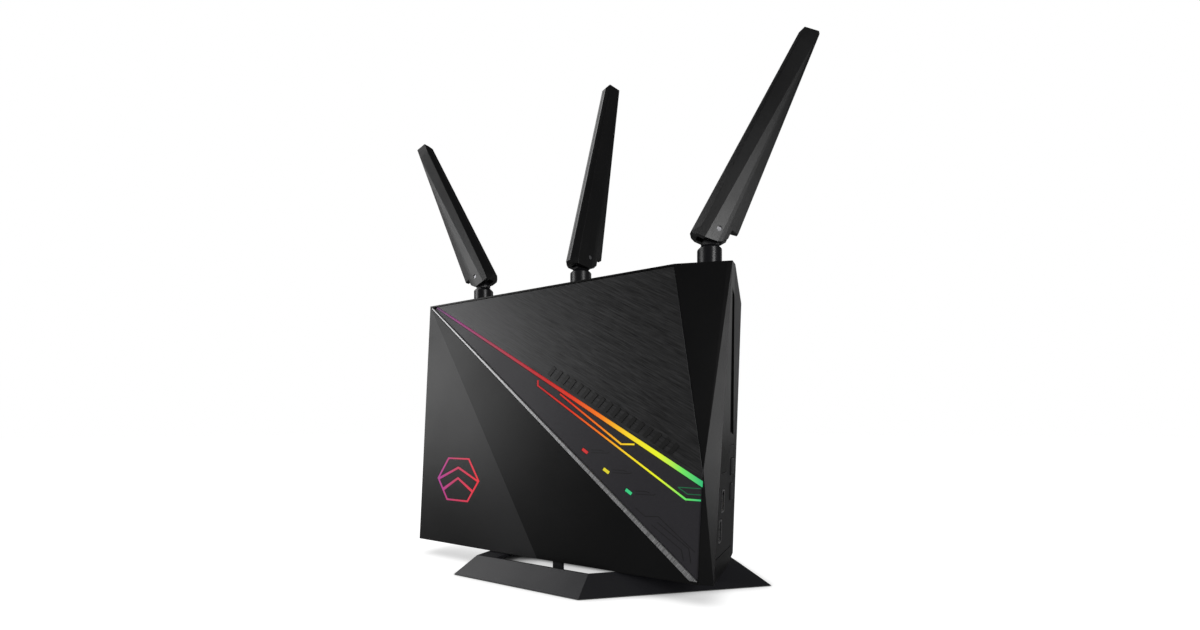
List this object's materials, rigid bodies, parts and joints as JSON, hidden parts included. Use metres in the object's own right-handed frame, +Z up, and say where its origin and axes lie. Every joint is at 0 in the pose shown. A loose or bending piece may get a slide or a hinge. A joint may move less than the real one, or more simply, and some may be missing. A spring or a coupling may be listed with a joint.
{
  "type": "wireless router",
  "caption": "Upright wireless router with a faceted case on a low open stand, diagonal light bar, lit badge, side and rear sockets, push buttons and folding aerials.",
  "frame": {"origin": "on the table, at the middle of the underside of the front rubber pad of the stand", "axes": "+X to the right along the front of the case, +Y to the back, +Z up"},
  "size_m": [0.3258, 0.129, 0.3628],
  "materials": {
    "case_front": "satin charcoal, fine moulded grain",
    "case_rear": "matt black, fine moulded grain",
    "brushed_panel": "dark grey, brushed along the light bar",
    "trace_panel": "dark grey satin",
    "trim": "gunmetal, finely textured",
    "lit_plastic": "translucent, lit in a magenta to green blend",
    "status_lens": "translucent, lit",
    "side_panel": "matt black",
    "plated_steel": "nickel plated",
    "socket_plastic": "matt black",
    "button_plastic": "satin black",
    "circuit_board": "green solder mask",
    "heat_sink": "extruded, bare",
    "aerial_socket": "turned, threaded",
    "fastener": "zinc plated",
    "aerial_plastic": "satin black",
    "stand_plastic": "satin black",
    "rubber_pad": "moulded"
  },
  "bodies": {
    "case": {"aerial_socket_1": "aerial_socket", "aerial_socket_2": "aerial_socket", "aerial_socket_3": "aerial_socket", "badge_lens": "lit_plastic", "dc_jack": "socket_plastic", "diagonal_trim": "trim", "front_cover": "case_front", "heat_sink": "heat_sink", "housing_screw_1": "fastener", "housing_screw_2": "fastener", "housing_screw_3": "fastener", "housing_screw_4": "fastener", "lan_port_1": "socket_plastic", "lan_port_2": "socket_plastic", "lan_port_3": "socket_plastic", "lan_port_4": "socket_plastic", "light_bar": "lit_plastic", "light_board": "circuit_board", "light_trace_long": "lit_plastic", "light_trace_short": "lit_plastic", "main_board": "circuit_board", "radio_shield": "plated_steel", "rear_housing": "case_rear", "side_panel": "side_panel", "stand_base": "stand_plastic", "stand_pad_1": "rubber_pad", "stand_pad_2": "rubber_pad", "stand_pad_3": "rubber_pad", "stand_pad_4": "rubber_pad", "stand_saddle": "stand_plastic", "stand_screw_1": "fastener", "stand_screw_2": "fastener", "status_lens_1": "status_lens", "status_lens_2": "status_lens", "status_lens_3": "status_lens", "trace_panel": "trace_panel", "upper_panel": "brushed_panel", "usb_port_1": "plated_steel", "usb_port_2": "plated_steel", "wan_port": "socket_plastic"},
    "aerial_1_turret": {"aerial_sleeve_1": "aerial_plastic", "aerial_neck_1": "aerial_plastic"},
    "aerial_1_blade": {"aerial_cover_a_1": "aerial_plastic", "aerial_cover_b_1": "aerial_plastic", "aerial_pin_1": "fastener"},
    "aerial_2_turret": {"aerial_sleeve_2": "aerial_plastic", "aerial_neck_2": "aerial_plastic"},
    "aerial_2_blade": {"aerial_cover_a_2": "aerial_plastic", "aerial_cover_b_2": "aerial_plastic", "aerial_pin_2": "fastener"},
    "aerial_3_turret": {"aerial_sleeve_3": "aerial_plastic", "aerial_neck_3": "aerial_plastic"},
    "aerial_3_blade": {"aerial_cover_a_3": "aerial_plastic", "aerial_cover_b_3": "aerial_plastic", "aerial_pin_3": "fastener"},
    "side_button_1_body": {"side_button_1": "button_plastic"},
    "side_button_2_body": {"side_button_2": "button_plastic"},
    "power_button_body": {"power_button": "button_plastic"},
    "reset_button_body": {"reset_button": "button_plastic"}
  },
  "joints": [
    {"name": "aerial_1_swivel", "type": "hinge", "parent": "case", "child": "aerial_1_turret", "pos_m": [-0.0855, 0.057, 0.209], "axis": [0, 0, 1], "range_deg": [-90, 90]},
    {"name": "aerial_1_tilt", "type": "hinge", "parent": "aerial_1_turret", "child": "aerial_1_blade", "pos_m": [-0.0905, 0.05678, 0.2255], "axis": [0.0436, -0.999, 0], "range_deg": [-26.3, 63.7]},
    {"name": "aerial_2_swivel", "type": "hinge", "parent": "case", "child": "aerial_2_turret", "pos_m": [0.009, 0.057, 0.209], "axis": [0, 0, 1], "range_deg": [-90, 90]},
    {"name": "aerial_2_tilt", "type": "hinge", "parent": "aerial_2_turret", "child": "aerial_2_blade", "pos_m": [0.01095, 0.0616, 0.2255], "axis": [-0.9205, 0.3907, 0], "range_deg": [-9.8, 80.2]},
    {"name": "aerial_3_swivel", "type": "hinge", "parent": "case", "child": "aerial_3_turret", "pos_m": [0.105, 0.057, 0.209], "axis": [0, 0, 1], "range_deg": [-90, 90]},
    {"name": "aerial_3_tilt", "type": "hinge", "parent": "aerial_3_turret", "child": "aerial_3_blade", "pos_m": [0.10941, 0.05935, 0.2255], "axis": [-0.4695, 0.8829, 0], "range_deg": [-24.7, 65.3]},
    {"name": "side_button_1_press", "type": "slide", "parent": "case", "child": "side_button_1_body", "axis": [-1, 0, 0], "range_m": [0, 0.0008], "stiffness_N_per_m": 600, "springref_m": -0.001},
    {"name": "side_button_2_press", "type": "slide", "parent": "case", "child": "side_button_2_body", "axis": [-1, 0, 0], "range_m": [0, 0.0008], "stiffness_N_per_m": 600, "springref_m": -0.001},
    {"name": "power_button_press", "type": "slide", "parent": "case", "child": "power_button_body", "axis": [0, -1, 0], "range_m": [0, 0.0012], "stiffness_N_per_m": 600, "springref_m": -0.001},
    {"name": "reset_button_press", "type": "slide", "parent": "case", "child": "reset_button_body", "axis": [0, -1, 0], "range_m": [0, 0.0008], "stiffness_N_per_m": 600, "springref_m": -0.001}
  ]
}
